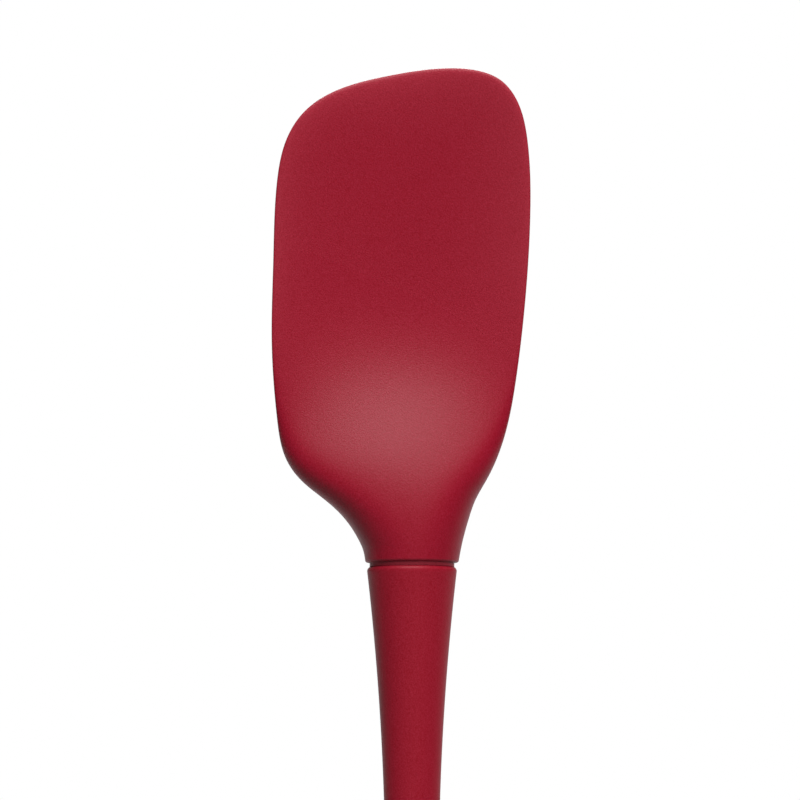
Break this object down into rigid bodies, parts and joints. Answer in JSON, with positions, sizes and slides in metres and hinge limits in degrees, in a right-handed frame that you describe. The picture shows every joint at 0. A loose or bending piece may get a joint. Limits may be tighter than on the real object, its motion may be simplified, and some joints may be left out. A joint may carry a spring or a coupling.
{
  "type": "spoon-shaped silicone spatula with a moulded insert and a ribbed nylon core",
  "caption": "Spoon-shaped silicone spatula: red head moulded over a stiff insert, plugged onto a ribbed handle core with a soft red grip and a hanging hole.",
  "frame": {"origin": "centre of the hanging hole near the grip's end", "axes": "+Z along the handle to the blade's tip, +Y along the hanging hole to the blade's back, +X to the blade's higher corner"},
  "size_m": [0.0571, 0.0204, 0.2899],
  "materials": {
    "head_silicone": "matte",
    "grip_silicone": "matte",
    "insert_nylon": "matte",
    "core_nylon": "satin"
  },
  "bodies": {
    "root": {"silicone_head": "head_silicone", "blade_insert": "insert_nylon", "handle_core": "core_nylon", "grip_sleeve": "grip_silicone"}
  },
  "joints": []
}
